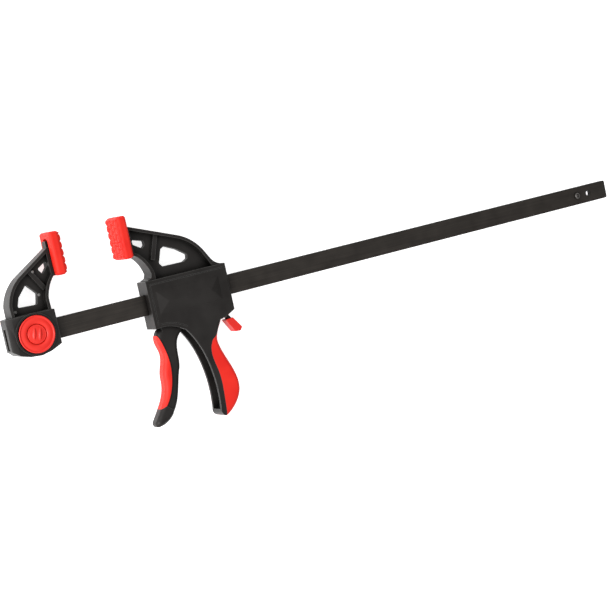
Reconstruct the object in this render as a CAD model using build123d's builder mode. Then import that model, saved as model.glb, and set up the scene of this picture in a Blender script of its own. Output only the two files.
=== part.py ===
"""One-hand bar clamp: a steel bar, a detachable fixed jaw, and a sliding head worked by a trigger.

Units are millimetres. The clamp lies on its side: +X runs along the bar from the fixed jaw to the
free end, +Y points to the jaw tips and +Z is up. Outlines are drawn on the plane halfway through
the bar's thickness, with x measured from the head's front and y measured from the bar's centre line.
"""
import os

from build123d import *

os.makedirs("parts", exist_ok=True)

# Where the drawing's own zero stands: the frame's origin is under the middle of the clamp's
# bounding box, at the level of the table it lies on.
DRAWING_X = -223.75
DRAWING_Y = 17.0
LIE_HEIGHT = 14.5  # half the width of the jaw pads, which are the widest pieces

# Bar
BAR_LEFT = -144.5
BAR_RIGHT = 593.0
BAR_HEIGHT = 20.0
BAR_THICKNESS = 5.0
BAR_CORNER = 2.0
HANG_HOLE_X = 567.0
HANG_HOLE_RADIUS = 3.25
STOP_PIN_X = 550.0
STOP_PIN_RADIUS = 3.2
STOP_PIN_LENGTH = 9.0
STOP_PIN_BORE = 1.8
BAR_CLEARANCE = 0.25

# Fixed jaw and its catch
JAW_LEFT = -145.5
JAW_RIGHT = -96.6
JAW_TOP = 19.4
NOSE_LENGTH = 5.5
NOSE_STEP = 3.25
BODY_HALF = 10.5  # half thickness of both mouldings
KNOB_X = -119.8
BOSS_RADIUS = 20.3
KNOB_RADIUS = 17.9
KNOB_BASE = 10.8
KNOB_TOP = 13.3
KNOB_RIM = 0.8
KNOB_RIM_WIDTH = 2.2
BOSS_HEIGHT = 1.1
BOSS_GAP = 0.7
BUTTON_RADIUS = 9.4
BUTTON_TOP = 14.4
YOKE_WIDTH = 9.0
YOKE_HALF_LENGTH = 16.2
YOKE_BASE = 9.2
YOKE_THICKNESS = 1.4
YOKE_FLOOR = 3.4
BUTTON_SPRING_POCKET = 4.6
BUTTON_POCKET_DEPTH = 4.6
BUTTON_COIL_RADIUS = 3.2
BUTTON_COIL_WIRE = 0.8
BUTTON_COIL_TURNS = 4
BUTTON_COIL_GAP = 0.5
BOLT_OFFSET = 12.25  # the crossbolts stand beside the bar's two edges
BOLT_RADIUS = 4.0
BOLT_NECK_RADIUS = 2.0
BOLT_END = -3.9
BOLT_BORE = 4.1
BOLT_BORE_END = -9.7
NECK_LOW = 2.9

# Jaw pads
PAD_DEPTH = 11.2
PAD_WIDTH = 29.0
PAD_LOW = 48.7
PAD_HIGH = 90.8
PAD_ROUND = 2.4
FIXED_PAD_BACK = -86.9
MOVING_PAD_BACK = -6.3
SLOT_TOP = 85.0
TEE_GAP = 0.3  # clearance all round the tee that carries a pad
TEE_TOP_GAP = 2.2
TEE_NECK_SLACK = 1.3
TEE_NECK_HALF = 6.0
TEE_HEAD_HALF = 8.5
TEE_NECK_DEPTH = 3.0
TEE_DEPTH = 6.2

# Arms of both jaws
WEB_HALF = 2.75
RIB_HALF = 5.5
WINDOW_ROUND = 1.6

# Head
HEAD_LEFT = 0.3
HEAD_RIGHT = 89.6
HEAD_TOP = 23.0
CHAMBER_HALF = 7.2
CHANNEL_HALF = 7.8
CHAMBER_TOP = 20.2
GRIP_DEPTH = 2.0
GRIP_CORE_HALF = 8.9
HANDLE_MIDDLE = 60.0
HANDLE_BACK_ROUND = 4.5
CASING_ROUND = 1.8
LIP_INSET = 4.0
LIP_WIDTH = 0.7
LIP_DEPTH = 0.5
PANEL_LEFT = 8.5
PANEL_RIGHT = 78.5
PANEL_HALF_HEIGHT = 12.0
PANEL_RISE = 2.6
PANEL_SLOPE = 11.0

# Trigger and its drive plates
PIVOT = (12.0, 15.0)
PIVOT_PIN_RADIUS = 2.0
PIVOT_RUNNING_GAP = 0.05
FORK_HALF = 6.5
FORK_SLOT_HALF = 3.1
TRIGGER_GRIP_HALF = 7.8
TRIGGER_GRIP_CORE = 6.0
TRIGGER_FRONT_ROUND = 4.5
TRIGGER_NECK_ROUND = 4.5
PLATE_FRONT = 17.15
PLATE_THICKNESS = 2.3
PLATE_STEP = 2.4
PLATE_COUNT = 2
PLATE_HALF = 6.9
PLATE_LOW = -13.5
PLATE_HIGH = 18.4
PLATE_ROUND = 1.0
PIN_HALF = 9.8
PLATE_HOLE_HEIGHT = 20.8
PLATE_HOLE_WIDTH = 5.8
SPRING_LEVEL = 15.4
DRIVE_WALL = 44.0

# Brake lever
LEVER_HALF = 6.8
STEM_HALF = 4.0
CAP_HALF = 5.5
LEVER_SIDE_GAP = 0.6
CAP_ROUND = 1.0
BRAKE_WALL = 86.0


def side(height=0.0):
    """Return the drawing plane, raised by height from the middle of the bar's thickness."""
    return Plane(
        origin=(DRAWING_X, DRAWING_Y, LIE_HEIGHT + height), x_dir=(1, 0, 0), z_dir=(0, 0, 1)
    )


def across(x=0.0):
    """Return a plane square to the bar at x: local x points to the jaw tips, local y is up."""
    return Plane(origin=(DRAWING_X + x, DRAWING_Y, LIE_HEIGHT), x_dir=(0, 1, 0), z_dir=(1, 0, 0))


def along_top(y=0.0):
    """Return a plane square to the jaws at y: local x runs along the bar, local y is down."""
    return Plane(origin=(DRAWING_X, DRAWING_Y + y, LIE_HEIGHT), x_dir=(1, 0, 0), z_dir=(0, 1, 0))


def polygon(*points):
    """Return a straight-sided outline, filled, at the drawing's own coordinates."""
    return Polygon(*points, align=None)


def box_cut(x_low, x_high, y_low, y_high, half):
    """Cut a straight pocket from the part being built, half each side of the bar's middle."""
    with BuildSketch(side(-half)) as pocket:
        with Locations(((x_low + x_high) / 2, (y_low + y_high) / 2)):
            Rectangle(x_high - x_low, y_high - y_low)
    extrude(pocket.sketch, amount=2 * half, mode=Mode.SUBTRACT)


def bar_passage(x_low, x_high):
    """Cut the slot that the bar runs through."""
    half_height = BAR_HEIGHT / 2 + BAR_CLEARANCE
    box_cut(x_low, x_high, -half_height, half_height, BAR_THICKNESS / 2 + BAR_CLEARANCE)


def rib(start, end, width):
    """Add a stiffening rib across the hollow side of an arm, flush with the web's middle."""
    with BuildSketch(side(-RIB_HALF)) as bridge:
        with BuildLine():
            Line(start, end)
        trace(line_width=width)
    extrude(bridge.sketch, amount=2 * RIB_HALF)


def taper_arm(base_half, tip_half):
    """Trim the arm being built so that it narrows evenly towards the jaw tips."""
    with BuildSketch(across(-160)) as wedge:
        polygon((10, -base_half), (10, base_half), (90, tip_half), (90, -tip_half))
    extrude(wedge.sketch, amount=400, mode=Mode.INTERSECT)


def pad_tee(flange_x, back_x, facing):
    """Add the tee that a pad slides onto. facing is +1 when the pad's face looks to +X."""
    neck_end = back_x + facing * (TEE_NECK_DEPTH + TEE_GAP)
    tee_end = back_x + facing * (TEE_DEPTH - TEE_GAP)
    low = PAD_LOW + 1.0
    high = SLOT_TOP - TEE_TOP_GAP
    for start, end, half in (
        (flange_x, neck_end, TEE_NECK_HALF - TEE_NECK_SLACK),
        (neck_end, tee_end, TEE_HEAD_HALF - TEE_GAP),
    ):
        with BuildSketch(side(-half)) as step:
            with Locations(((start + end) / 2, (low + high) / 2)):
                Rectangle(abs(end - start), high - low)
        extrude(step.sketch, amount=2 * half)


def jaw_pad(back_x, facing):
    """Build one soft jaw pad. Both pads are the same moulding, facing each other."""
    middle = Plane(
        origin=(DRAWING_X + back_x, DRAWING_Y, LIE_HEIGHT), x_dir=(facing, 0, 0), z_dir=(0, 0, facing)
    )
    slot_height = SLOT_TOP - PAD_LOW
    with BuildPart() as pad:
        with BuildSketch(middle.offset(-PAD_WIDTH / 2)):
            with Locations((PAD_DEPTH / 2, (PAD_LOW + PAD_HIGH) / 2)):
                Rectangle(PAD_DEPTH, PAD_HIGH - PAD_LOW)
        extrude(amount=PAD_WIDTH)
        fillet(pad.edges(), radius=PAD_ROUND)
        with BuildSketch(middle.offset(-TEE_NECK_HALF)):
            with Locations((TEE_DEPTH / 2, PAD_LOW + slot_height / 2)):
                Rectangle(TEE_DEPTH, slot_height)
        extrude(amount=2 * TEE_NECK_HALF, mode=Mode.SUBTRACT)
        with BuildSketch(middle.offset(-TEE_HEAD_HALF)):
            with Locations(((TEE_NECK_DEPTH + TEE_DEPTH) / 2, PAD_LOW + slot_height / 2)):
                Rectangle(TEE_DEPTH - TEE_NECK_DEPTH, slot_height)
        extrude(amount=2 * TEE_HEAD_HALF, mode=Mode.SUBTRACT)
    return pad


def coil_spring(start_x, end_x, level, radius, wire, turns):
    """Build a small coil spring lying along X at the given level above the bar's centre line."""
    start = start_x + wire
    length = end_x - start_x - 2 * wire
    with BuildPart() as spring:
        with BuildLine() as coil:
            Helix(
                pitch=length / turns,
                height=length,
                radius=radius,
                center=(DRAWING_X + start, DRAWING_Y + level, LIE_HEIGHT),
                direction=(1, 0, 0),
            )
        with BuildSketch(Plane(origin=coil.line @ 0, z_dir=coil.line % 0)):
            Circle(wire / 2)
        sweep(is_frenet=True)
    return spring


# --- Bar -----------------------------------------------------------------------------------

with BuildPart() as bar:
    with BuildSketch(side(-BAR_THICKNESS / 2)):
        with Locations(((BAR_LEFT + BAR_RIGHT) / 2, 0)):
            RectangleRounded(BAR_RIGHT - BAR_LEFT, BAR_HEIGHT, BAR_CORNER)
        with Locations((HANG_HOLE_X, 0)):
            Circle(HANG_HOLE_RADIUS, mode=Mode.SUBTRACT)
        with Locations((STOP_PIN_X, 0)):
            Circle(STOP_PIN_RADIUS, mode=Mode.SUBTRACT)
        with Locations((KNOB_X, BOLT_OFFSET), (KNOB_X, -BOLT_OFFSET)):
            Circle(BOLT_BORE, mode=Mode.SUBTRACT)
    extrude(amount=BAR_THICKNESS)

with BuildPart() as stop_pin:
    with BuildSketch(side(-STOP_PIN_LENGTH / 2)):
        with Locations((STOP_PIN_X, 0)):
            Circle(STOP_PIN_RADIUS)
            Circle(STOP_PIN_BORE, mode=Mode.SUBTRACT)
    extrude(amount=STOP_PIN_LENGTH)
    rims = stop_pin.edges().filter_by(GeomType.CIRCLE).sort_by(lambda edge: edge.radius)[-2:]
    chamfer(rims, length=0.4)

# --- Fixed jaw -----------------------------------------------------------------------------

with BuildPart() as fixed_jaw:
    # Arm: an I-beam, with windows through its web and a slanting rib between them.
    with BuildSketch(side(-BODY_HALF)):
        with BuildLine():
            Line((-138.9, 15), (-138.9, 30))
            ThreePointArc((-138.9, 30), (-133.6, 43.8), (-123.4, 54.9))
            Line((-123.4, 54.9), (-88.0, 77.3))
            Line((-88.0, 77.3), (-88.0, 50.5))
            ThreePointArc((-88.0, 50.5), (-94.6, 41.8), (-98.9, 30.0))
            Line((-98.9, 30.0), (-98.9, 15))
            Line((-98.9, 15), (-138.9, 15))
        make_face()
    extrude(amount=2 * BODY_HALF)
    taper_arm(10.0, 5.4)
    for direction in (1, -1):
        with BuildSketch(side(direction * WEB_HALF)):
            with BuildLine():
                Line((-135.9, 20), (-135.9, 30))
                ThreePointArc((-135.9, 30), (-131.2, 42.0), (-121.8, 52.3))
                Line((-121.8, 52.3), (-91.0, 71.9))
                Line((-91.0, 71.9), (-91.0, 51.6))
                ThreePointArc((-91.0, 51.6), (-97.3, 43.3), (-101.9, 30.0))
                Line((-101.9, 30.0), (-101.9, 20))
                Line((-101.9, 20), (-135.9, 20))
            make_face()
        extrude(amount=direction * BODY_HALF, mode=Mode.SUBTRACT)
    rib((-111.5, 59.0), (-99.5, 39.5), 4.5)
    with BuildSketch(side(-BODY_HALF)) as window:
        polygon((-109.2, 26.4), (-129.0, 27.4), (-125.8, 36.6), (-116.3, 47.0), (-107.0, 36.6))
        polygon((-101.4, 58.8), (-91.6, 64.8), (-91.0, 60.5), (-97.2, 53.0))
        fillet(window.vertices(), radius=WINDOW_ROUND)
    extrude(amount=2 * BODY_HALF, mode=Mode.SUBTRACT)
    # Body: the block round the bar's end, narrower at its left end.
    with BuildSketch(side(-BODY_HALF)):
        polygon(
            (JAW_LEFT, -11.5),
            (-139.0, -16.6),
            (-129.5, -19.8),
            (-118.0, -20.9),
            (-107.5, -18.6),
            (JAW_RIGHT, -14.0),
            (JAW_RIGHT, JAW_TOP),
            (JAW_LEFT, JAW_TOP),
        )
    extrude(amount=2 * BODY_HALF)
    for up in (1, -1):
        with BuildSketch(along_top(-40)):
            polygon(
                (JAW_LEFT, up * BODY_HALF),
                (JAW_LEFT, up * (BODY_HALF - NOSE_STEP)),
                (JAW_LEFT + NOSE_LENGTH, up * BODY_HALF),
            )
        extrude(amount=80, mode=Mode.SUBTRACT)
    with BuildSketch(side(BODY_HALF)):
        with Locations((KNOB_X, 0)):
            Circle(BOSS_RADIUS)
            Circle(KNOB_RADIUS + BOSS_GAP, mode=Mode.SUBTRACT)
    extrude(amount=BOSS_HEIGHT)
    pad_tee(-89.0, FIXED_PAD_BACK, 1)
    bar_passage(JAW_LEFT - 1, JAW_RIGHT + 1)
    # Pocket for the button's yoke and bores for its two crossbolts.
    with BuildSketch(side(YOKE_FLOOR)):
        with Locations((KNOB_X, 0)):
            Rectangle(YOKE_WIDTH + 0.8, 2 * YOKE_HALF_LENGTH + 0.8)
            Circle(BUTTON_RADIUS + 0.4)
    extrude(amount=BODY_HALF, mode=Mode.SUBTRACT)
    with BuildSketch(side(BOLT_BORE_END)):
        with Locations((KNOB_X, BOLT_OFFSET), (KNOB_X, -BOLT_OFFSET)):
            Circle(BOLT_BORE)
    extrude(amount=BODY_HALF - BOLT_BORE_END, mode=Mode.SUBTRACT)

with BuildPart() as knob_ring:
    with BuildSketch(side(KNOB_BASE)):
        with Locations((KNOB_X, 0)):
            Circle(KNOB_RADIUS)
            Circle(BUTTON_RADIUS + 0.4, mode=Mode.SUBTRACT)
    extrude(amount=KNOB_TOP - KNOB_BASE)
    with BuildSketch(side(KNOB_TOP)):
        with Locations((KNOB_X, 0)):
            Circle(KNOB_RADIUS)
            Circle(KNOB_RADIUS - KNOB_RIM_WIDTH, mode=Mode.SUBTRACT)
    extrude(amount=KNOB_RIM)

with BuildPart() as release_button:
    with BuildSketch(side(YOKE_BASE)):
        with Locations((KNOB_X, 0)):
            Rectangle(YOKE_WIDTH, 2 * YOKE_HALF_LENGTH)
            Circle(BUTTON_RADIUS)
    extrude(amount=YOKE_THICKNESS)
    with BuildSketch(side(YOKE_BASE)):
        with Locations((KNOB_X, 0)):
            Circle(BUTTON_RADIUS)
    extrude(amount=BUTTON_TOP - YOKE_BASE)
    with BuildSketch(side(YOKE_BASE)):
        with Locations((KNOB_X, 0)):
            Circle(BUTTON_SPRING_POCKET)
    extrude(amount=BUTTON_POCKET_DEPTH, mode=Mode.SUBTRACT)

with BuildPart() as crossbolts:
    for bolt_y in (BOLT_OFFSET, -BOLT_OFFSET):
        with BuildSketch(side(BOLT_END)):
            with Locations((KNOB_X, bolt_y)):
                Circle(BOLT_RADIUS)
        extrude(amount=NECK_LOW - BOLT_END)
        with BuildSketch(side(NECK_LOW)):
            with Locations((KNOB_X, bolt_y)):
                Circle(BOLT_NECK_RADIUS)
        extrude(amount=YOKE_BASE - NECK_LOW)

with BuildPart() as button_spring:
    spring_foot = YOKE_FLOOR + BUTTON_COIL_GAP
    spring_head = YOKE_BASE + BUTTON_POCKET_DEPTH - BUTTON_COIL_GAP
    with BuildLine() as button_coil:
        Helix(
            pitch=(spring_head - spring_foot) / BUTTON_COIL_TURNS,
            height=spring_head - spring_foot,
            radius=BUTTON_COIL_RADIUS,
            center=(DRAWING_X + KNOB_X, DRAWING_Y, LIE_HEIGHT + spring_foot),
        )
    with BuildSketch(Plane(origin=button_coil.line @ 0, z_dir=button_coil.line % 0)):
        Circle(BUTTON_COIL_WIRE / 2)
    sweep(is_frenet=True)

fixed_jaw_pad = jaw_pad(FIXED_PAD_BACK, 1)
moving_jaw_pad = jaw_pad(MOVING_PAD_BACK, -1)

# --- Head: moving jaw, casing and pistol handle in one moulding ------------------------------


def handle_outline():
    """Return the handle's side outline, from the casing down to the butt."""
    with BuildSketch() as outline:
        with BuildLine():
            Line((31.5, -19), (31.8, -31.5))
            Spline((31.8, -31.5), (41.8, -48.0), (48.9, -70.0), (52.1, -95.0), (51.0, -118.5))
            ThreePointArc((51.0, -118.5), (52.6, -124.6), (58.2, -126.0))
            lower_back = ((58.2, -126.0), (68.2, -118.6), (77.2, -103.4), (74.9, -82.4))
            upper_back = ((65.6, -57.0), (64.6, -50.0), (67.6, -41.0), (73.4, -31.0))
            Spline(*lower_back, *upper_back)
            Line((73.4, -31.0), (73.4, -19))
            Line((73.4, -19), (31.5, -19))
        make_face()
    return outline.sketch


def handle_grip_region():
    """Return the rear area of the handle that the red grip covers, open past its back edge."""
    with BuildSketch() as region:
        with BuildLine():
            Polyline((80, -43), (66.0, -43.5), (58.5, -48.5))
            Spline((58.5, -48.5), (54.3, -59.0), (57.5, -82.0), (57.8, -104.0), (55.6, -130.0))
            Polyline((55.6, -130.0), (90, -130), (80, -43))
        make_face()
    return region.sketch


with BuildPart() as handle_blank:
    with BuildSketch(side(-BODY_HALF)):
        add(handle_outline())
    extrude(amount=2 * BODY_HALF)
    outer_edges = handle_blank.faces().filter_by(Axis.Z).edges()
    back_edges = outer_edges.filter_by(lambda edge: edge.center().X > DRAWING_X + HANDLE_MIDDLE)
    fillet(back_edges.filter_by(GeomType.BSPLINE), radius=HANDLE_BACK_ROUND)

with BuildPart() as handle_grip:
    add(handle_blank.part)
    with BuildSketch(side(-BODY_HALF)):
        add(handle_grip_region())
    extrude(amount=2 * BODY_HALF, mode=Mode.INTERSECT)
    with BuildSketch(side(-GRIP_CORE_HALF)):
        add(handle_outline())
        add(Location((-GRIP_DEPTH, GRIP_DEPTH / 2)) * handle_outline(), mode=Mode.INTERSECT)
    extrude(amount=2 * GRIP_CORE_HALF, mode=Mode.SUBTRACT)

with BuildPart() as head_body:
    # Moving jaw arm.
    with BuildSketch(side(-BODY_HALF)):
        with BuildLine():
            Polyline((3.8, 15), (3.8, 23.6), (8.0, 25.4), (9.3, 29.3))
            ThreePointArc((9.3, 29.3), (5.8, 39.0), (-2.2, 49.0))
            Polyline((-2.2, 49.0), (-6.0, 51.0), (-6.0, 79.9), (46.3, 60.2))
            ThreePointArc((46.3, 60.2), (61.1, 50.9), (72.0, 36.5))
            Line((72.0, 36.5), (76.2, 29.4))
            ThreePointArc((76.2, 29.4), (80.4, 25.5), (87.0, 23.0))
            Polyline((87.0, 23.0), (87.0, 15), (3.8, 15))
        make_face()
    extrude(amount=2 * BODY_HALF)
    taper_arm(9.4, 7.6)
    for direction in (1, -1):
        with BuildSketch(side(direction * WEB_HALF)):
            with BuildLine():
                Line((12.8, 22), (12.8, 30))
                ThreePointArc((12.8, 30), (8.6, 40.5), (-0.6, 51.6))
                Polyline((-0.6, 51.6), (-3.4, 53.0), (-3.4, 75.6), (45.0, 57.4))
                ThreePointArc((45.0, 57.4), (58.8, 48.9), (69.4, 35.2))
                Polyline((69.4, 35.2), (76.0, 22), (12.8, 22))
            make_face()
        extrude(amount=direction * BODY_HALF, mode=Mode.SUBTRACT)
    rib((24.4, 67.5), (15.6, 42.0), 4.4)
    with BuildSketch(side(-BODY_HALF)) as window:
        upper_edge = ((22.4, 37.2), (27.2, 50.6), (31.4, 52.5), (43.5, 47.2))
        polygon(*upper_edge, (54.2, 39.6), (53.6, 35.6), (49.0, 33.2), (25.4, 33.4))
        polygon((-1.2, 65.8), (11.5, 62.2), (11.5, 57.8), (8.3, 55.3), (-0.6, 60.8))
        fillet(window.vertices(), radius=WINDOW_ROUND)
    extrude(amount=2 * BODY_HALF, mode=Mode.SUBTRACT)
    pad_tee(-5.0, MOVING_PAD_BACK, -1)
    # Casing round the bar, arched over the trigger.
    with BuildSketch(side(-BODY_HALF)):
        with BuildLine():
            Polyline((31.0, -31.5), (73.4, -31.0), (81.5, -28.2))
            Polyline((81.5, -28.2), (HEAD_RIGHT, -24.3), (HEAD_RIGHT, HEAD_TOP), (HEAD_LEFT, HEAD_TOP))
            Polyline((HEAD_LEFT, HEAD_TOP), (HEAD_LEFT, -24.5), (10.0, -24.0))
            ThreePointArc((10.0, -24.0), (21.5, -26.6), (31.0, -31.5))
        make_face()
    extrude(amount=2 * BODY_HALF)
    upright = head_body.edges().filter_by(Axis.Y)
    front_and_back = upright.group_by(Axis.X)
    fillet(front_and_back[0] + front_and_back[-1], radius=CASING_ROUND)
    add(handle_blank.part)
    add(handle_grip.part, mode=Mode.SUBTRACT)
    bar_passage(HEAD_LEFT - 1, HEAD_RIGHT + 1)
    # Drive chamber, open downwards into the handle's channel.
    with BuildSketch(side(-CHAMBER_HALF)):
        polygon((4.5, CHAMBER_TOP), (DRIVE_WALL, CHAMBER_TOP), (DRIVE_WALL, -23), (58, -40), (4.5, -40))
    extrude(amount=2 * CHAMBER_HALF, mode=Mode.SUBTRACT)
    with BuildSketch(side(-CHANNEL_HALF)):
        with BuildLine():
            Polyline((4.5, -26), (46, -26), (58, -40))
            Spline((58, -40), (57.5, -55), (66, -82), (66.5, -104), (56, -118.5))
            Polyline((56, -118.5), (44, -118.5), (4.5, -50), (4.5, -26))
        make_face()
    extrude(amount=2 * CHANNEL_HALF, mode=Mode.SUBTRACT)
    # Brake chamber, open at the rear bottom corner for the release lever.
    with BuildSketch(side(-CHAMBER_HALF)):
        polygon((70, CHAMBER_TOP), (BRAKE_WALL, CHAMBER_TOP), (BRAKE_WALL, -22), (77, -22), (70, -14))
    extrude(amount=2 * CHAMBER_HALF, mode=Mode.SUBTRACT)
    with BuildSketch(side(-STEM_HALF - LEVER_SIDE_GAP)):
        polygon((74.5, -20), (86.5, -20), (87.5, -33), (75.5, -33))
    extrude(amount=2 * (STEM_HALF + LEVER_SIDE_GAP), mode=Mode.SUBTRACT)
    with BuildSketch(side(-PIN_HALF)):
        with Locations(PIVOT):
            Circle(PIVOT_PIN_RADIUS)
    extrude(amount=2 * PIN_HALF, mode=Mode.SUBTRACT)

    # Shallow lip lines inside the casing's front and top edges and over the trigger arch.
    for direction in (1, -1):
        with BuildSketch(side(direction * BODY_HALF)) as lip:
            with BuildLine():
                lip_left = HEAD_LEFT + LIP_INSET
                lip_top = HEAD_TOP - LIP_INSET
                Polyline((lip_left, -21.5), (lip_left, lip_top), (HEAD_RIGHT - LIP_INSET, lip_top))
                ThreePointArc((7.0, -21.0), (22.0, -23.2), (34.0, -29.0))
            trace(line_width=LIP_WIDTH)
        extrude(lip.sketch, amount=-direction * LIP_DEPTH, mode=Mode.SUBTRACT)

with BuildPart() as side_panels:
    for direction in (1, -1):
        with BuildSketch(side(direction * (BODY_HALF + 0.05))):
            with Locations(((PANEL_LEFT + PANEL_RIGHT) / 2, 0)):
                Rectangle(PANEL_RIGHT - PANEL_LEFT, 2 * PANEL_HALF_HEIGHT)
        with BuildSketch(side(direction * (BODY_HALF + PANEL_RISE))):
            with Locations(((PANEL_LEFT + PANEL_RIGHT) / 2, 0)):
                Rectangle(PANEL_RIGHT - PANEL_LEFT - 2 * PANEL_SLOPE, 0.6)
        loft()

# --- Trigger ---------------------------------------------------------------------------------


def trigger_outline():
    """Return the trigger's side outline: fork, pushing nose, blade with finger waves, and tip."""
    with BuildSketch() as outline:
        with BuildLine():
            Line((7.2, 15.0), (7.0, -12.0))
            Line((7.0, -12.0), (8.0, -25.0))
            upper_front = ((8.0, -25.0), (1.7, -33.0), (1.6, -39.0), (4.4, -50.0), (1.6, -64.0))
            lower_front = ((-0.2, -71.0), (-0.6, -79.0), (-3.3, -90.0), (-10.0, -102.0), (-18.2, -113.5))
            Spline(*upper_front, *lower_front)
            ThreePointArc((-18.2, -113.5), (-18.4, -117.8), (-15.5, -119.3))
            Spline((-15.5, -119.3), (-1.2, -113.4), (6.4, -104.5), (13.5, -87.0), (18.6, -70.0))
            Spline((18.6, -70.0), (21.2, -53.0), (22.9, -42.0), (27.2, -35.2))
            Line((27.2, -35.2), (29.0, -32.0))
            Polyline((29.0, -32.0), (25.5, -27.5), (19.5, -23.5), (13.2, -17.5), (13.0, -13.5))
            Line((13.0, -13.5), (15.3, -4.0))
            ThreePointArc((15.3, -4.0), (17.0, -1.0), (16.4, 1.0))
            Line((16.4, 1.0), (16.8, 15.0))
            ThreePointArc((16.8, 15.0), (12.0, 19.8), (7.2, 15.0))
        make_face()
    return outline.sketch


def trigger_grip_region():
    """Return the area of the trigger that the red grip covers, open past its front edge."""
    with BuildSketch() as outline:
        with BuildLine():
            Polyline((-40, -31), (2.0, -31.0))
            Spline((2.0, -31.0), (6.4, -45.0), (8.6, -60.0), (7.2, -75.0), (2.4, -90.0), (-4.5, -100.5))
            Polyline((-4.5, -100.5), (-10.5, -102.6), (-40, -102.6), (-40, -31))
        make_face()
    return outline.sketch


with BuildPart() as trigger_blank:
    with BuildSketch(side(-TRIGGER_GRIP_HALF)):
        add(trigger_outline())
    extrude(amount=2 * TRIGGER_GRIP_HALF)
    outer_edges = trigger_blank.faces().filter_by(Axis.Z).edges().filter_by(GeomType.BSPLINE)
    fillet(outer_edges.group_by(Axis.X)[0], radius=TRIGGER_FRONT_ROUND)

with BuildPart() as trigger_grip:
    add(trigger_blank.part)
    with BuildSketch(side(-TRIGGER_GRIP_HALF)):
        add(trigger_grip_region())
    extrude(amount=2 * TRIGGER_GRIP_HALF, mode=Mode.INTERSECT)
    with BuildSketch(side(-TRIGGER_GRIP_CORE)):
        add(trigger_outline())
        add(Location((GRIP_DEPTH, 0)) * trigger_outline(), mode=Mode.INTERSECT)
    extrude(amount=2 * TRIGGER_GRIP_CORE, mode=Mode.SUBTRACT)

with BuildPart() as trigger_tip:
    # The tip is as wide as the grip above it.
    add(trigger_blank.part)
    with BuildSketch(side(-TRIGGER_GRIP_HALF)):
        polygon((-40, -102.6), (-10.5, -102.6), (-4.5, -100.5), (2, -106), (-2, -125), (-40, -125))
    extrude(amount=2 * TRIGGER_GRIP_HALF, mode=Mode.INTERSECT)

with BuildPart() as trigger:
    with BuildSketch(side(-FORK_HALF)):
        add(trigger_outline())
    extrude(amount=2 * FORK_HALF)
    outer_edges = trigger.faces().filter_by(Axis.Z).edges().filter_by(GeomType.BSPLINE)
    fillet(outer_edges.group_by(Axis.X)[0], radius=TRIGGER_NECK_ROUND)
    add(trigger_tip.part)
    add(trigger_grip.part, mode=Mode.SUBTRACT)
    box_cut(0, 30, -13.0, 11.8, FORK_SLOT_HALF)
    with BuildSketch(side(-BODY_HALF)):
        with Locations(PIVOT):
            Circle(PIVOT_PIN_RADIUS + PIVOT_RUNNING_GAP)
    extrude(amount=2 * BODY_HALF, mode=Mode.SUBTRACT)

with BuildPart() as trigger_pin:
    with BuildSketch(side(-PIN_HALF)):
        with Locations(PIVOT):
            Circle(PIVOT_PIN_RADIUS)
    extrude(amount=2 * PIN_HALF)

with BuildPart() as drive_plates:
    for index in range(PLATE_COUNT):
        with BuildSketch(across(PLATE_FRONT + index * PLATE_STEP)):
            with Locations(((PLATE_LOW + PLATE_HIGH) / 2, 0)):
                RectangleRounded(PLATE_HIGH - PLATE_LOW, 2 * PLATE_HALF, PLATE_ROUND)
            Rectangle(PLATE_HOLE_HEIGHT, PLATE_HOLE_WIDTH, mode=Mode.SUBTRACT)
        extrude(amount=PLATE_THICKNESS)

plates_back = PLATE_FRONT + (PLATE_COUNT - 1) * PLATE_STEP + PLATE_THICKNESS
drive_spring = coil_spring(plates_back, DRIVE_WALL, SPRING_LEVEL, 2.4, 0.8, 7)

# --- Brake lever -----------------------------------------------------------------------------

with BuildPart() as brake_lever:
    with BuildSketch(side(-LEVER_HALF)):
        polygon((76.3, 18.0), (79.95, -21.0), (82.45, -20.8), (78.8, 18.2))
    extrude(amount=2 * LEVER_HALF)
    with BuildSketch(side(-STEM_HALF)):
        polygon((79.9, -20.5), (80.5, -28.5), (88.6, -41.0), (90.8, -39.7), (83.0, -27.6), (82.4, -20.5))
    extrude(amount=2 * STEM_HALF)
    box_cut(70, 90, -10.4, 10.4, PLATE_HOLE_WIDTH / 2)

with BuildPart() as release_cap:
    with BuildSketch(side(-CAP_HALF)) as cap_side:
        polygon((79.3, -33.4), (87.7, -32.8), (95.9, -44.3), (93.2, -47.9), (87.2, -47.2))
        fillet(cap_side.vertices(), radius=CAP_ROUND)
    extrude(amount=2 * CAP_HALF)
    add(brake_lever.part, mode=Mode.SUBTRACT)

brake_spring = coil_spring(79.3, BRAKE_WALL, SPRING_LEVEL, 2.4, 0.6, 4)

# --- Write every piece -------------------------------------------------------------------------

pieces = {
    "bar": bar,
    "stop_pin": stop_pin,
    "fixed_jaw": fixed_jaw,
    "fixed_jaw_pad": fixed_jaw_pad,
    "knob_ring": knob_ring,
    "release_button": release_button,
    "crossbolts": crossbolts,
    "button_spring": button_spring,
    "head_body": head_body,
    "side_panels": side_panels,
    "moving_jaw_pad": moving_jaw_pad,
    "handle_grip": handle_grip,
    "trigger": trigger,
    "trigger_grip": trigger_grip,
    "trigger_pin": trigger_pin,
    "drive_plates": drive_plates,
    "drive_spring": drive_spring,
    "brake_lever": brake_lever,
    "release_cap": release_cap,
    "brake_spring": brake_spring,
}
for name, piece in pieces.items():
    piece.part.label = name
    export_step(piece.part, f"parts/{name}.step")
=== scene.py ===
"""Looks of the one-hand bar clamp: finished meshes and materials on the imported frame."""
import math

import bmesh
import bpy
from mathutils import Matrix, Vector


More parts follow.
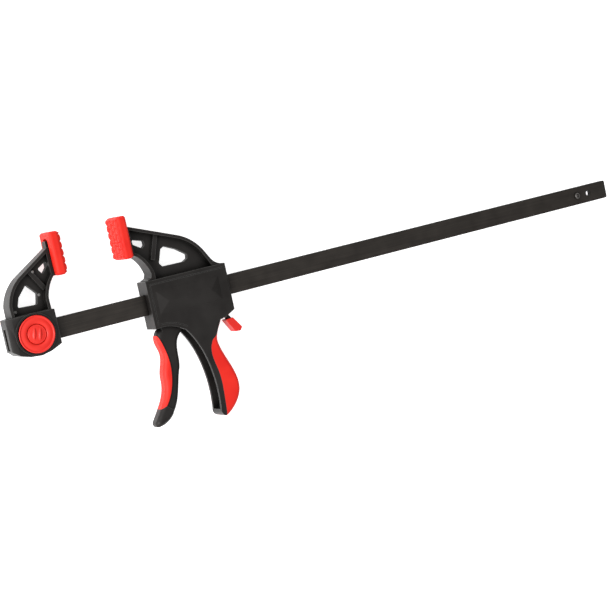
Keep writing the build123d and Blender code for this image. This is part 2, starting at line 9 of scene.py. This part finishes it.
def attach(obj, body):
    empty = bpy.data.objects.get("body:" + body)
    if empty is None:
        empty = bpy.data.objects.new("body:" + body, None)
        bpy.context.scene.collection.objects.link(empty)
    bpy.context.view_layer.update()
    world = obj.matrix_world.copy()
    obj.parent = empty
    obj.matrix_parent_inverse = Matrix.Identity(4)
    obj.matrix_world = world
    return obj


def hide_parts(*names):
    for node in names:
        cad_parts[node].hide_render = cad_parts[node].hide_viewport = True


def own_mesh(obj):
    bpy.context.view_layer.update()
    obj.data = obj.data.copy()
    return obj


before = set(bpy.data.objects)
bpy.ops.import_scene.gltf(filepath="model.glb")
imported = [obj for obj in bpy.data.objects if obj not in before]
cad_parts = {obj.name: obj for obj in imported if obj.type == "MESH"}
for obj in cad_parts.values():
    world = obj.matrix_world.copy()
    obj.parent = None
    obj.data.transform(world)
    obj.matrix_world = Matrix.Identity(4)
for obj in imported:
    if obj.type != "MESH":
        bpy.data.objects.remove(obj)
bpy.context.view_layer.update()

MM = 0.001
TINY = 1e-6
# The drawing's zero in the row frame: the head's front, on the bar's centre line.
DRAWING_ZERO = Vector((-0.22375, 0.017, 0.0145))
# The knob's axis in the drawing, which its button and the button's spring share.
KNOB_X = -119.8


def at(x, y, z=0.0):
    """A point of the drawing, in millimetres, as a place in the row frame, in metres."""
    return DRAWING_ZERO + Vector((x, y, z)) * MM


# ---- Materials ---------------------------------------------------------------------------------

PLAIN_SHEEN = 0.35
# A noise texture hardly leaves this range.
NOISE_LOW, NOISE_HIGH = 0.3, 0.7
# The painted edge colour (a painted highlight on the nylon, painted shade on the bar) follows a
# rounded normal this wide.
EDGE_RADIUS, EDGE_SAMPLES = 0.0009, 6
# How squarely the rounded normal faces the true one: off an edge, and on one.
EDGE_NONE, EDGE_FULL = 0.995, 0.93
RECESS_SAMPLES = 8
# How open a place is to the air: deep in a recess, and out of it.
RECESS_DEEP, RECESS_OPEN = 0.35, 0.95
# Painted shade in the deepest recesses: a darker colour and a duller sheen.
RECESS_SHADE_COLOR = (0.003, 0.0028, 0.0026)
RECESS_SHEEN = 0.04
BAR_DARK, BAR_LIGHT = (0.019, 0.0162, 0.0138), (0.040, 0.034, 0.029)
MOTTLE_SHARE, ROLLED_SHARE = 0.5, 0.5


def principled(name, color, roughness, metallic=0.0):
    """A new material with its nodes, its links and its shader, ready for more nodes."""
    material = bpy.data.materials.new(name)
    material.use_nodes = True
    shader = material.node_tree.nodes["Principled BSDF"]
    shader.inputs["Base Color"].default_value = (*color, 1.0)
    shader.inputs["Roughness"].default_value = roughness
    shader.inputs["Metallic"].default_value = metallic
    shader.inputs["Specular IOR Level"].default_value = PLAIN_SHEEN
    return material, material.node_tree.nodes, material.node_tree.links, shader


def noise(nodes, links, scale, detail=4.0, stretch=(1.0, 1.0, 1.0)):
    """A noise texture in object space, scale in repeats per metre."""
    place = nodes.new("ShaderNodeTexCoord")
    mapping = nodes.new("ShaderNodeMapping")
    mapping.inputs["Scale"].default_value = stretch
    texture = nodes.new("ShaderNodeTexNoise")
    texture.inputs["Scale"].default_value = scale
    texture.inputs["Detail"].default_value = detail
    links.new(place.outputs["Object"], mapping.inputs["Vector"])
    links.new(mapping.outputs["Vector"], texture.inputs["Vector"])
    return texture.outputs["Fac"]


def remap(nodes, links, source, from_low, from_high, to_low=0.0, to_high=1.0, curve="LINEAR"):
    """Turns from_low to from_high into to_low to to_high."""
    span = nodes.new("ShaderNodeMapRange")
    span.inputs["From Min"].default_value = from_low
    span.inputs["From Max"].default_value = from_high
    span.inputs["To Min"].default_value = to_low
    span.inputs["To Max"].default_value = to_high
    span.interpolation_type = curve
    links.new(source, span.inputs["Value"])
    return span.outputs["Result"]


def spread(nodes, links, source, low, high):
    """Turns a noise texture into low to high."""
    return remap(nodes, links, source, NOISE_LOW, NOISE_HIGH, low, high)


def calculate(nodes, links, operation, *values):
    """Arithmetic on sockets or plain numbers, in the order of the node's inputs."""
    result = nodes.new("ShaderNodeMath")
    result.operation = operation
    for slot, value in zip(result.inputs, values):
        if isinstance(value, float):
            slot.default_value = value
        else:
            links.new(value, slot)
    return result.outputs["Value"]


def mix_colors(nodes, links, factor, first, second):
    """Mixes two colours by a factor. Each is a plain colour or a socket."""
    mix = nodes.new("ShaderNodeMix")
    mix.data_type = "RGBA"
    links.new(factor, mix.inputs["Factor"])
    for slot, color in (("A", first), ("B", second)):
        if isinstance(color, tuple):
            mix.inputs[slot].default_value = (*color, 1.0)
        else:
            links.new(color, mix.inputs[slot])
    return mix.outputs["Result"]


def bump(nodes, links, shader, height, distance, strength):
    """Adds a bump layer on top of any already on the shader."""
    layer = nodes.new("ShaderNodeBump")
    layer.inputs["Distance"].default_value = distance
    layer.inputs["Strength"].default_value = strength
    links.new(height, layer.inputs["Height"])
    before = shader.inputs["Normal"].links
    if before:
        links.new(before[0].from_socket, layer.inputs["Normal"])
    links.new(layer.outputs["Normal"], shader.inputs["Normal"])


def moulded_plastic(name, dark, light, roughness, grain, sheen=PLAIN_SHEEN):
    """Moulded plastic or rubber: a fine even grain, slight flow marks and patches of shine."""
    material, nodes, links, shader = principled(name, dark, roughness)
    shader.inputs["Specular IOR Level"].default_value = sheen
    patches = noise(nodes, links, scale=45.0, detail=3.0)
    tint = mix_colors(nodes, links, spread(nodes, links, patches, 0.0, 1.0), dark, light)
    links.new(tint, shader.inputs["Base Color"])
    shine = spread(nodes, links, patches, roughness - 0.05, roughness + 0.07)
    links.new(shine, shader.inputs["Roughness"])
    flow = noise(nodes, links, scale=220.0, detail=2.0, stretch=(0.25, 1.0, 1.0))
    bump(nodes, links, shader, flow, distance=0.0002, strength=0.06)
    pores = noise(nodes, links, scale=2600.0, detail=2.0)
    bump(nodes, links, shader, pores, distance=0.00012, strength=grain)
    return material


def bar_steel(name):
    """Blackened rolled steel: faint long rolling marks and a mottled finish."""
    material, nodes, links, shader = principled(name, BAR_DARK, roughness=0.42, metallic=0.35)
    mottle = noise(nodes, links, scale=60.0, detail=6.0)
    rolled = noise(nodes, links, scale=900.0, detail=3.0, stretch=(0.02, 1.0, 1.0))
    marks = calculate(nodes, links, "MULTIPLY", rolled, ROLLED_SHARE)
    both = calculate(nodes, links, "MULTIPLY_ADD", mottle, MOTTLE_SHARE, marks)
    tint = mix_colors(nodes, links, spread(nodes, links, both, 0.0, 1.0), BAR_DARK, BAR_LIGHT)
    links.new(tint, shader.inputs["Base Color"])
    links.new(spread(nodes, links, mottle, 0.36, 0.5), shader.inputs["Roughness"])
    bump(nodes, links, shader, rolled, distance=0.0001, strength=0.12)
    speckle = noise(nodes, links, scale=1800.0, detail=2.0)
    bump(nodes, links, shader, speckle, distance=0.0001, strength=0.08)
    return material


def bright_steel(name, color, roughness):
    """Drawn steel with fine streaks."""
    material, nodes, links, shader = principled(name, color, roughness, metallic=1.0)
    streaks = noise(nodes, links, scale=1500.0, detail=3.0, stretch=(0.1, 1.0, 1.0))
    shine = spread(nodes, links, streaks, roughness - 0.06, roughness + 0.1)
    links.new(shine, shader.inputs["Roughness"])
    bump(nodes, links, shader, streaks, distance=0.00005, strength=0.1)
    return material


def edge_mask(nodes, links):
    """White along the edges and black elsewhere: where the painted edge colour goes."""
    rounded = nodes.new("ShaderNodeBevel")
    rounded.samples = EDGE_SAMPLES
    rounded.inputs["Radius"].default_value = EDGE_RADIUS
    surface = nodes.new("ShaderNodeNewGeometry")
    facing = nodes.new("ShaderNodeVectorMath")
    facing.operation = "DOT_PRODUCT"
    links.new(rounded.outputs["Normal"], facing.inputs[0])
    links.new(surface.outputs["Normal"], facing.inputs[1])
    return remap(nodes, links, facing.outputs["Value"], EDGE_NONE, EDGE_FULL)


def paint_edges_and_recess_shade(material, painted_edge_color, depth):
    """Paints the edge colour along a material's edges, and paints shade into its recesses: darker
    and duller.
    """
    nodes, links = material.node_tree.nodes, material.node_tree.links
    shader = nodes["Principled BSDF"]
    base = shader.inputs["Base Color"].links[0].from_socket
    shade = nodes.new("ShaderNodeAmbientOcclusion")
    shade.samples = RECESS_SAMPLES
    shade.inputs["Distance"].default_value = depth
    openness = remap(nodes, links, shade.outputs["AO"], RECESS_DEEP, RECESS_OPEN)
    # Painted shade: the recesses turn towards the dark recess colour.
    recess_shaded = mix_colors(nodes, links, openness, RECESS_SHADE_COLOR, base)
    # Painted edge colour, kept out of the recesses: a painted highlight on the nylon, painted shade
    # on the bar.
    painted_edge_share = calculate(nodes, links, "MULTIPLY", edge_mask(nodes, links), openness)
    painted_light_and_shade = mix_colors(nodes, links, painted_edge_share, recess_shaded, painted_edge_color)
    links.new(painted_light_and_shade, shader.inputs["Base Color"])
    # Painted shade on the sheen as well: the recesses reflect less.
    sheen = shader.inputs["Specular IOR Level"]
    gloss = remap(nodes, links, openness, 0.0, 1.0, RECESS_SHEEN, sheen.default_value)
    links.new(gloss, sheen)


black_nylon = moulded_plastic(
    "black_nylon",
    dark=(0.0125, 0.0110, 0.0102),
    light=(0.0195, 0.0176, 0.0164),
    roughness=0.4,
    grain=0.35,
    sheen=0.22,
)
# The side panels' facets are shallow, so their nylon is copied before painted edge highlights and
# painted recess shade go onto it.
panel_nylon = black_nylon.copy()
panel_nylon.name = "panel_nylon"
# Painted highlights along the nylon's edges and painted shade in its recesses.
paint_edges_and_recess_shade(black_nylon, painted_edge_color=(0.065, 0.063, 0.061), depth=0.010)
# A pale nylon standing in for the highlights on the small domed ejector marks: a painted highlight.
painted_glint_nylon = moulded_plastic(
    "painted_glint_nylon", dark=(0.11, 0.105, 0.10), light=(0.17, 0.165, 0.16), roughness=0.42, grain=0.2
)
red_rubber = moulded_plastic(
    "red_rubber",
    dark=(0.68, 0.012, 0.006),
    light=(0.78, 0.022, 0.011),
    roughness=0.52,
    grain=0.2,
    sheen=0.3,
)
red_plastic = moulded_plastic(
    "red_plastic",
    dark=(0.66, 0.013, 0.008),
    light=(0.76, 0.024, 0.013),
    roughness=0.36,
    grain=0.1,
    sheen=0.45,
)
red_pad = moulded_plastic(
    "red_pad",
    dark=(0.67, 0.014, 0.008),
    light=(0.77, 0.025, 0.014),
    roughness=0.6,
    grain=0.15,
    sheen=0.25,
)
# The bar's edges look darker than its faces, so its edges get painted shade, a dark colour, instead
# of a painted highlight.
bar_black = bar_steel("bar_black")
paint_edges_and_recess_shade(bar_black, painted_edge_color=(0.004, 0.0036, 0.0033), depth=0.008)
spring_steel = bright_steel("spring_steel", color=(0.56, 0.56, 0.57), roughness=0.3)
pin_steel = bright_steel("pin_steel", color=(0.20, 0.19, 0.18), roughness=0.36)


# ---- Carrying the CAD shapes over ----------------------------------------------------------------

WELD_GAP = 0.00001
# Faces that meet flatter than this, in degrees, are one face.
FLAT_ANGLE = 0.6
COIL_SMOOTHING = 60.0


def new_object(name, mesh, material, body):
    """Puts a finished mesh in the scene with its material, riding on a body."""
    piece = bpy.data.objects.new(name, mesh)
    bpy.context.collection.objects.link(piece)
    mesh.materials.clear()
    mesh.materials.append(material)
    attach(piece, body)
    return piece


def finished_mesh(shape, name):
    """Turns a shape being built into a mesh."""
    mesh = bpy.data.meshes.new(name)
    shape.to_mesh(mesh)
    shape.free()
    return mesh


def apply_modifiers(piece):
    """Bakes an object's modifiers into its mesh."""
    graph = bpy.context.evaluated_depsgraph_get()
    baked = bpy.data.meshes.new_from_object(piece.evaluated_get(graph))
    piece.modifiers.clear()
    piece.data = baked


def smooth(piece, angle):
    """Smooth shading across every edge flatter than the angle, in degrees."""
    for face in piece.data.polygons:
        face.use_smooth = True
    shape = bmesh.new()
    shape.from_mesh(piece.data)
    for edge in shape.edges:
        edge.smooth = len(edge.link_faces) == 2 and edge.calc_face_angle(0.0) < math.radians(angle)
    shape.to_mesh(piece.data)
    shape.free()
    weighted = piece.modifiers.new("weighted", "WEIGHTED_NORMAL")
    weighted.keep_sharp = True


def softened(node, body, material, width, segments=3, angle=32.0, smoothing=35.0):
    """A copy of a CAD node with its edges rounded by width millimetres, standing in for it."""
    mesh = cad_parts[node].data.copy()
    shape = bmesh.new()
    shape.from_mesh(mesh)
    bmesh.ops.remove_doubles(shape, verts=shape.verts, dist=WELD_GAP)
    bmesh.ops.dissolve_limit(
        shape,
        angle_limit=math.radians(FLAT_ANGLE),
        verts=shape.verts,
        edges=shape.edges,
        delimit=set(),
    )
    shape.to_mesh(mesh)
    shape.free()
    piece = new_object(node + "_finish", mesh, material, body)
    rounding = piece.modifiers.new("rounding", "BEVEL")
    rounding.width = width * MM
    rounding.segments = segments
    rounding.limit_method = "ANGLE"
    rounding.angle_limit = math.radians(angle)
    rounding.harden_normals = False
    rounding.miter_outer = "MITER_ARC"
    apply_modifiers(piece)
    smooth(piece, smoothing)
    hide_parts(node)


def repaint(node, material):
    """Gives a carried-over CAD node its finished material."""
    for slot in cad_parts[node].material_slots:
        slot.material = material


def coil(node, body):
    """A spring's finished coil, riding on its body."""
    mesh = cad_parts[node].data.copy()
    piece = new_object(node + "_finish", mesh, spring_steel, body)
    smooth(piece, COIL_SMOOTHING)
    apply_modifiers(piece)
    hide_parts(node)
    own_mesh(piece)


softened("bar", "bar_and_fixed_jaw", bar_black, width=0.45)
softened("fixed_jaw", "bar_and_fixed_jaw", black_nylon, width=0.8)
softened("head_body", "head", black_nylon, width=0.8)
softened("side_panels", "head", panel_nylon, width=0.35, segments=2, angle=8.0, smoothing=7.0)
softened("handle_grip", "head", red_rubber, width=0.35)
softened("trigger", "trigger", black_nylon, width=0.6)
softened("trigger_grip", "trigger", red_rubber, width=0.35)
softened("release_cap", "brake", red_plastic, width=0.8)
softened("brake_lever", "brake", bar_black, width=0.3)

coil("drive_spring", "head")
coil("brake_spring", "head")
coil(
    "button_spring",
    "bar_and_fixed_jaw",
)
repaint("stop_pin", pin_steel)
for part in ("crossbolts", "drive_plates", "trigger_pin"):
    repaint(part, spring_steel)


# ---- Jaw pads: a soft moulding with rows of scales on its face -----------------------------------

PAD_LOW, PAD_HIGH, PAD_HALF_WIDTH = 48.7, 90.9, 14.5
PAD_ROOT, PAD_ROUND = 9.9, 3.0
PAD_STEP = 0.45
PAD_SMOOTHING = 50.0
# A pad starts as a cube from -1 to 1, and these pick out its whole edges and its front face.
CUBE_SIDE, WHOLE_EDGE, FRONT_FACE = 2.0, 1.9, 0.999
SCALE_RISE, SCALE_ROWS, SCALE_COLUMNS = 1.6, 6, 4
# Where along its row a scale is highest: the lengths below and above its crest.
SCALE_BELOW, SCALE_ABOVE = 0.42, 0.58
# How squarely a scale's outline and its top are shaped.
SCALE_ACROSS_POWER, SCALE_ALONG_POWER, SCALE_TOP_POWER = 2.6, 2.4, 0.55
SCALE_ACROSS_SHARE = 0.7
# The plain strip at a pad's two ends, and how far the scales take to rise from it.
SCALE_BORDER, SCALE_FADE = 0.6, 2.0
SLOT_TOP, SLOT_ARCH, SLOT_PAST_EDGE, SLOT_ARCH_STEPS = 85.0, 3.0, 2.0, 12


def scale_height(across, along):
    """How far a scale stands out at a place on the face, from 0 to 1. Columns are staggered."""
    column = min(int(across * SCALE_COLUMNS), SCALE_COLUMNS - 1)
    row_shift = 0.5 if column % 2 else 0.0
    u = (across * SCALE_COLUMNS) % 1.0 - 0.5
    v = (along * SCALE_ROWS + row_shift) % 1.0 - SCALE_BELOW
    v = v / SCALE_BELOW if v < 0 else v / SCALE_ABOVE
    side = (2.0 * abs(u)) ** SCALE_ACROSS_POWER * SCALE_ACROSS_SHARE
    reach = side + abs(v) ** SCALE_ALONG_POWER
    border = min(along, 1.0 - along) * (PAD_HIGH - PAD_LOW)
    fade = min(1.0, max(0.0, (border - SCALE_BORDER) / SCALE_FADE))
    return fade * max(0.0, 1.0 - reach) ** SCALE_TOP_POWER


def pad_mesh(name, back_x, facing):
    """One pad before its slot is cut: a rounded block with scales on its face."""
    half = Vector((PAD_ROOT / 2, (PAD_HIGH - PAD_LOW) / 2, PAD_HALF_WIDTH))
    shape = bmesh.new()
    bmesh.ops.create_cube(shape, size=CUBE_SIDE)
    counts = [int(2 * side / PAD_STEP) for side in half]
    for axis in range(3):
        chosen = [
            edge
            for edge in shape.edges
            if abs((edge.verts[0].co - edge.verts[1].co)[axis]) > WHOLE_EDGE
        ]
        bmesh.ops.subdivide_edges(shape, edges=chosen, cuts=counts[axis], use_grid_fill=True)
    core = half - Vector((PAD_ROUND,) * 3)
    for vert in shape.verts:
        place = Vector([vert.co[i] * half[i] for i in range(3)])
        inner = Vector([max(-core[i], min(core[i], place[i])) for i in range(3)])
        outward = place - inner
        if outward.length > TINY:
            place = inner + outward.normalized() * PAD_ROUND
        if vert.co.x > FRONT_FACE:
            across = (vert.co.z + 1) / 2
            along = (vert.co.y + 1) / 2
            place.x += SCALE_RISE * scale_height(across, along)
        place.x += PAD_ROOT / 2
        place.y += (PAD_HIGH + PAD_LOW) / 2
        vert.co = at(back_x + facing * place.x, place.y, place.z)
    if facing < 0:
        bmesh.ops.reverse_faces(shape, faces=shape.faces)
    return finished_mesh(shape, name)


def slot_cutter(back_x, facing, half_width, start, end):
    """A closed slug with an arched top, to cut the slot in a pad's back."""
    shape = bmesh.new()
    foot = PAD_LOW - SLOT_PAST_EDGE
    outline = [(-half_width, foot), (half_width, foot)]
    for step in range(SLOT_ARCH_STEPS + 1):
        angle = math.pi * step / SLOT_ARCH_STEPS
        rise = SLOT_TOP - SLOT_ARCH + SLOT_ARCH * math.sin(angle)
        outline.append((half_width * math.cos(angle), rise))
    near = [shape.verts.new(at(back_x + facing * start, y, z)) for z, y in outline]
    far = [shape.verts.new(at(back_x + facing * end, y, z)) for z, y in outline]
    shape.faces.new(near)
    shape.faces.new(list(reversed(far)))
    for i in range(len(outline)):
        j = (i + 1) % len(outline)
        shape.faces.new((near[j], near[i], far[i], far[j]))
    bmesh.ops.recalc_face_normals(shape, faces=shape.faces)
    cutter = bpy.data.objects.new("cutter", finished_mesh(shape, "cutter"))
    bpy.context.collection.objects.link(cutter)
    return cutter


def jaw_pad(node, body, back_x, facing):
    """The finished pad, in place of its CAD block. The jaw's T-shaped tip fills its slot."""
    piece = new_object(node + "_finish", pad_mesh(node, back_x, facing), red_pad, body)
    cutters = [
        slot_cutter(back_x, facing, half_width=6.0, start=-1.0, end=4.0),
        slot_cutter(back_x, facing, half_width=8.5, start=3.0, end=6.2),
    ]
    for cutter in cutters:
        cut = piece.modifiers.new("slot", "BOOLEAN")
        cut.operation = "DIFFERENCE"
        cut.solver = "EXACT"
        cut.object = cutter
    apply_modifiers(piece)
    for cutter in cutters:
        bpy.data.objects.remove(cutter)
    smooth(piece, PAD_SMOOTHING)
    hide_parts(node)


jaw_pad("fixed_jaw_pad", "bar_and_fixed_jaw", back_x=-86.9, facing=1)
jaw_pad("moving_jaw_pad", "head", back_x=-6.3, facing=-1)


# ---- Release knob --------------------------------------------------------------------------------

KNOB_STEPS = 96
RING_SMOOTHING, BUTTON_SMOOTHING = 45.0, 60.0
BUTTON_RINGS = 40
BUTTON_RADIUS, BUTTON_TOP, BUTTON_FOOT = 9.35, 13.9, 9.3
DOME_DROP = 0.35
# The rim rounds off over the last tenth of the radius.
RIM_START, RIM_SPAN, RIM_DROP = 0.9, 0.1, 0.9
RIB_TURN = math.radians(14)
RIB_OFFSET, RIB_HALF_WIDTH, RIB_HALF_LENGTH = 2.9, 1.6, 5.6
RIB_RISE, RIB_POWER = 1.2, 0.6
GROOVE_RADIUS, GROOVE_HALF_WIDTH, GROOVE_DEPTH = 7.9, 0.5, 0.22
YOKE_WIDTH, YOKE_LENGTH, YOKE_THICKNESS, YOKE_MIDDLE = 9.0, 32.4, 1.4, 9.9


def turned(name, profile):
    """A solid turned about the knob's axis, from (radius, height) points in the drawing."""
    shape = bmesh.new()
    rings = []
    for radius, height in profile:
        ring = []
        for i in range(KNOB_STEPS):
            angle = 2 * math.pi * i / KNOB_STEPS
            x, y = KNOB_X + radius * math.cos(angle), radius * math.sin(angle)
            ring.append(shape.verts.new(at(x, y, height)))
        rings.append(ring)
    for low, high in zip(rings, rings[1:]):
        for i in range(KNOB_STEPS):
            j = (i + 1) % KNOB_STEPS
            shape.faces.new((low[i], low[j], high[j], high[i]))
    bmesh.ops.recalc_face_normals(shape, faces=shape.faces)
    return finished_mesh(shape, name)


ring_profile = [
    (9.75, 10.8), (15.9, 10.8), (16.4, 11.8), (17.3, 12.5), (17.8, 12.9), (17.9, 13.3),
    (17.75, 13.75), (17.3, 14.0), (16.8, 13.95), (16.4, 13.6), (16.0, 13.35), (15.4, 13.4),
    (14.2, 13.75), (12.8, 13.9), (11.6, 13.8), (10.6, 13.5), (10.0, 13.1), (9.75, 12.5),
    (9.75, 10.8),
]
knob_ring = new_object(
    "knob_ring_finish", turned("knob_ring", ring_profile), red_plastic, "bar_and_fixed_jaw"
)
smooth(knob_ring, RING_SMOOTHING)
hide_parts("knob_ring")


def button_height(x, y, fraction):
    """The button's top at a place: a shallow dome with a rim, two finger ribs and a ring groove."""
    height = BUTTON_TOP - DOME_DROP * fraction**2
    rim = max(0.0, (fraction - RIM_START) / RIM_SPAN)
    height -= RIM_DROP * (1 - math.sqrt(max(0.0, 1 - rim**2)))
    # The ribs stand at a slant to the jaws.
    rib_u = x * math.cos(RIB_TURN) - y * math.sin(RIB_TURN)
    rib_v = x * math.sin(RIB_TURN) + y * math.cos(RIB_TURN)
    for rib_x in (-RIB_OFFSET, RIB_OFFSET):
        reach = ((rib_u - rib_x) / RIB_HALF_WIDTH) ** 2 + (rib_v / RIB_HALF_LENGTH) ** 2
        if reach < 1:
            height += RIB_RISE * (1 - reach) ** RIB_POWER
    groove = abs(math.hypot(x, y) - GROOVE_RADIUS) / GROOVE_HALF_WIDTH
    if groove < 1:
        height -= GROOVE_DEPTH * (1 - groove**2)
    return height


def button_mesh(name):
    """The push button on its skirt and yoke.

    The spring pocket of the CAD button is left out, so the button's spring crosses this mesh.
    """
    shape = bmesh.new()
    grid = []
    for r in range(1, BUTTON_RINGS + 1):
        fraction = r / BUTTON_RINGS
        loop = []
        for i in range(KNOB_STEPS):
            angle = 2 * math.pi * i / KNOB_STEPS
            x = BUTTON_RADIUS * fraction * math.cos(angle)
            y = BUTTON_RADIUS * fraction * math.sin(angle)
            loop.append((x, y, button_height(x, y, fraction)))
        grid.append(loop)
    centre = shape.verts.new(at(KNOB_X, 0, BUTTON_TOP))
    rows = [[shape.verts.new(at(KNOB_X + x, y, z)) for x, y, z in loop] for loop in grid]
    rows.append([shape.verts.new(at(KNOB_X + x, y, BUTTON_FOOT)) for x, y, _ in grid[-1]])
    for i in range(KNOB_STEPS):
        j = (i + 1) % KNOB_STEPS
        shape.faces.new((centre, rows[0][i], rows[0][j]))
        for low, high in zip(rows, rows[1:]):
            shape.faces.new((low[j], low[i], high[i], high[j]))
    shape.faces.new(list(reversed(rows[-1])))
    # The yoke under the button, which carries the two crossbolts.
    yoke = bmesh.ops.create_cube(shape, size=1.0)["verts"]
    for vert in yoke:
        vert.co = at(
            KNOB_X + YOKE_WIDTH * vert.co.x,
            YOKE_LENGTH * vert.co.y,
            YOKE_MIDDLE + YOKE_THICKNESS * vert.co.z,
        )
    bmesh.ops.recalc_face_normals(shape, faces=shape.faces)
    return finished_mesh(shape, name)


button = new_object(
    "release_button_finish", button_mesh("release_button"), red_plastic, "jaw_release"
)
smooth(button, BUTTON_SMOOTHING)
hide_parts("release_button")


# ---- Ejector marks on the fixed jaw, painted pale as highlights ----------------------------------

MARK_RISE = 0.35


def spot(name, x, y, height, radius):
    """A low round mark standing on a jaw's web, painted pale as a painted highlight on its dome."""
    bpy.ops.mesh.primitive_uv_sphere_add(segments=32, ring_count=16, radius=1.0)
    mark = bpy.context.object
    mark.name = name
    for vert in mark.data.vertices:
        across, along, out = vert.co
        vert.co = at(x + across * radius, y + along * radius, height + out * MARK_RISE)
    for face in mark.data.polygons:
        face.use_smooth = True
    mark.data.materials.append(painted_glint_nylon)
    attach(mark, "bar_and_fixed_jaw")


spot("ejector_mark_low", -132.0, 24.0, height=2.75, radius=1.5)
spot("ejector_mark_mid", -105.6, 35.0, height=2.75, radius=1.4)
spot("ejector_mark_high", -107.6, 57.5, height=5.5, radius=1.3)


# ---- Camera, fitted to the bar and the head in the photo -----------------------------------------

CAMERA_PLACE = Vector((-0.6236, 0.1147, 1.4481))
CAMERA_RIGHT = Vector((0.8472, -0.2087, 0.4886))
CAMERA_BACK = Vector((-0.4801, 0.0929, 0.8723))

camera_data = bpy.data.cameras.new("camera")
camera_data.lens = 95.0
camera_data.sensor_width = 36.0
camera_data.clip_start = 0.05
camera_data.clip_end = 20.0
camera_data.shift_y = 0.0007
camera = bpy.data.objects.new("camera", camera_data)
bpy.context.collection.objects.link(camera)
back = CAMERA_BACK.normalized()
up = back.cross(CAMERA_RIGHT.normalized()).normalized()
right = up.cross(back).normalized()
turn = Matrix((right, up, back)).transposed().to_4x4()
camera.matrix_world = Matrix.Translation(DRAWING_ZERO + CAMERA_PLACE) @ turn
bpy.context.scene.camera = camera


# ---- Floor and light -----------------------------------------------------------------------------

WHITE = (1.0, 1.0, 1.0, 1.0)
# The sky is bright towards the left and overhead, and falls off towards the right.
SKY_FALL_START, SKY_FALL_END = -0.15, 0.75
SKY_BRIGHT, SKY_DIM = 1.15, 0.25
FLOOR_SIDE, FLOOR_GLOW = 8.0, 0.75
LIGHT_AIM = Vector((-0.2, 0, 0))

world = bpy.data.worlds.new("studio")
world.use_nodes = True
sky_nodes, sky_links = world.node_tree.nodes, world.node_tree.links
sky = sky_nodes["Background"]
sky.inputs["Color"].default_value = WHITE
direction = sky_nodes.new("ShaderNodeTexCoord")
split = sky_nodes.new("ShaderNodeSeparateXYZ")
sky_links.new(direction.outputs["Generated"], split.inputs["Vector"])
fall = remap(
    sky_nodes,
    sky_links,
    split.outputs["X"],
    SKY_FALL_START,
    SKY_FALL_END,
    SKY_BRIGHT,
    SKY_DIM,
    curve="SMOOTHSTEP",
)
sky_links.new(fall, sky.inputs["Strength"])
bpy.context.scene.world = world

bpy.ops.mesh.primitive_plane_add(size=FLOOR_SIDE, location=(0, 0, 0))
floor = bpy.context.object
floor.name = "floor"
floor_white, _, _, floor_shader = principled("floor", (0.9, 0.9, 0.9), roughness=0.9)
floor_shader.inputs["Emission Color"].default_value = WHITE
floor_shader.inputs["Emission Strength"].default_value = FLOOR_GLOW
floor.data.materials.append(floor_white)


def softbox(name, place, size, energy):
    """A square area light aimed at the floor near the head's front."""
    data = bpy.data.lights.new(name, "AREA")
    data.energy = energy
    data.size = size
    lamp = bpy.data.objects.new(name, data)
    lamp.location = place
    lamp.rotation_euler = (LIGHT_AIM - Vector(place)).to_track_quat("-Z", "Y").to_euler()
    bpy.context.collection.objects.link(lamp)


softbox("left", (-1.9, 0.15, 1.05), size=0.6, energy=28.0)

bpy.context.scene.view_settings.view_transform = "Standard"
